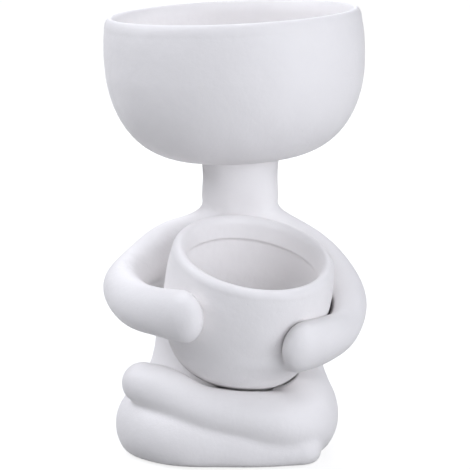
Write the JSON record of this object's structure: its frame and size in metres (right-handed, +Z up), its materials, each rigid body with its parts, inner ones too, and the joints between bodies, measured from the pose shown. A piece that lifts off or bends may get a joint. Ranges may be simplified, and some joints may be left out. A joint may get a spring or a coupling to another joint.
{
  "type": "ceramic figure planter",
  "caption": "Seated figure planter in matt white ceramic: an open bowl for a head, and a smaller cup hugged between the arms and the crossed legs.",
  "frame": {"origin": "on the flat base that the figure sits on, under its lap", "axes": "+Z up; the figure faces -Y; its left arm and left leg are on the +X side"},
  "size_m": [0.1211, 0.1423, 0.202],
  "materials": {
    "head_bowl": "matt bisque",
    "torso": "matt bisque",
    "right_arm": "matt bisque",
    "left_arm": "matt bisque",
    "right_leg": "matt bisque",
    "left_leg": "matt bisque",
    "cup": "matt bisque"
  },
  "bodies": {
    "root": {"head_bowl": "head_bowl", "torso": "torso", "right_arm": "right_arm", "left_arm": "left_arm", "right_leg": "right_leg", "left_leg": "left_leg", "cup": "cup"}
  },
  "joints": []
}
